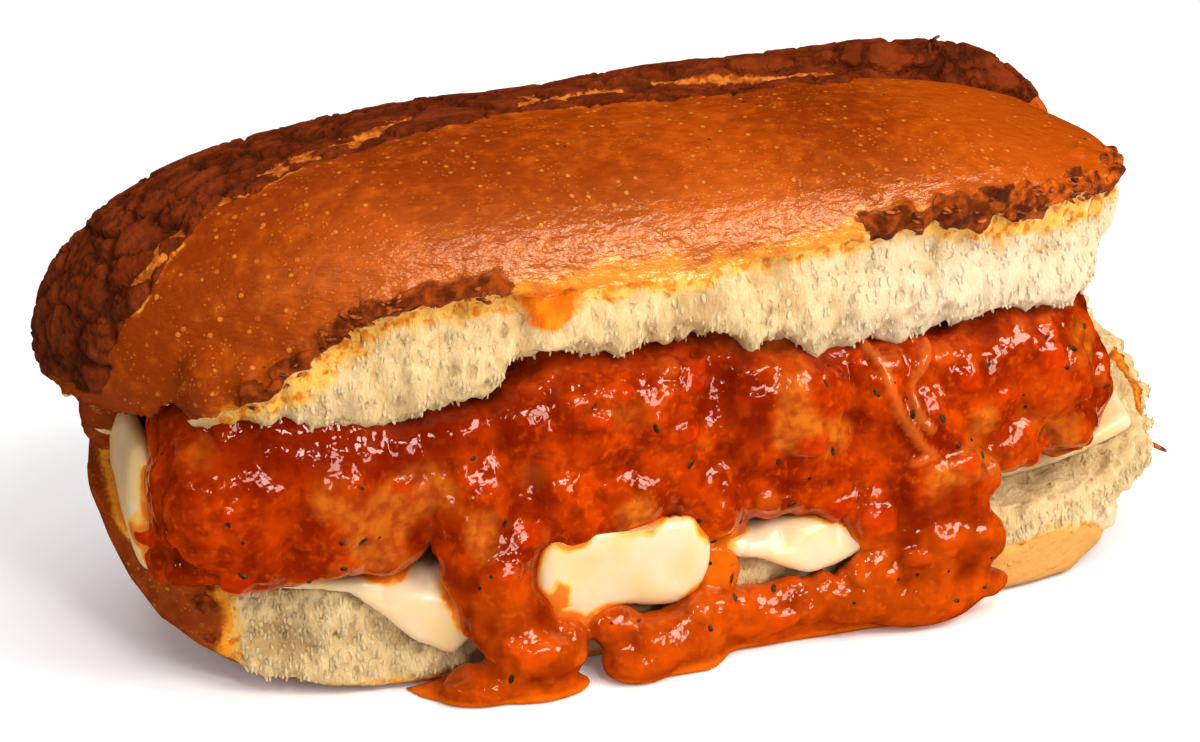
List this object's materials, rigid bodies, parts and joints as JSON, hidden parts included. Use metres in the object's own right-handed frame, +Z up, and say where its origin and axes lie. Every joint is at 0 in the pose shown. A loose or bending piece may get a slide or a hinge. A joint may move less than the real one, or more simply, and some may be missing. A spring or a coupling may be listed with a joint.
{
  "type": "meatball sandwich",
  "caption": "Long crusty roll, hinged at the back, filled with saucy meatballs on melted cheese, sauce running out at the front.",
  "frame": {"origin": "middle of the bounding box's base, where the roll rests", "axes": "+X along the roll, -Y towards its open front, +Z up"},
  "size_m": [0.205, 0.0882, 0.0893],
  "materials": {
    "roll": "baked crust over soft crumb",
    "cheese": "melted, satin",
    "meat": "fried, coated in sauce",
    "sauce": "wet"
  },
  "bodies": {
    "root": {"roll": "roll", "cheese_left": "cheese", "cheese_middle": "cheese", "cheese_right": "cheese", "meatball_1": "meat", "meatball_2": "meat", "meatball_3": "meat", "meatball_4": "meat", "sauce_left": "sauce", "sauce_middle": "sauce", "sauce_right": "sauce"}
  },
  "joints": []
}
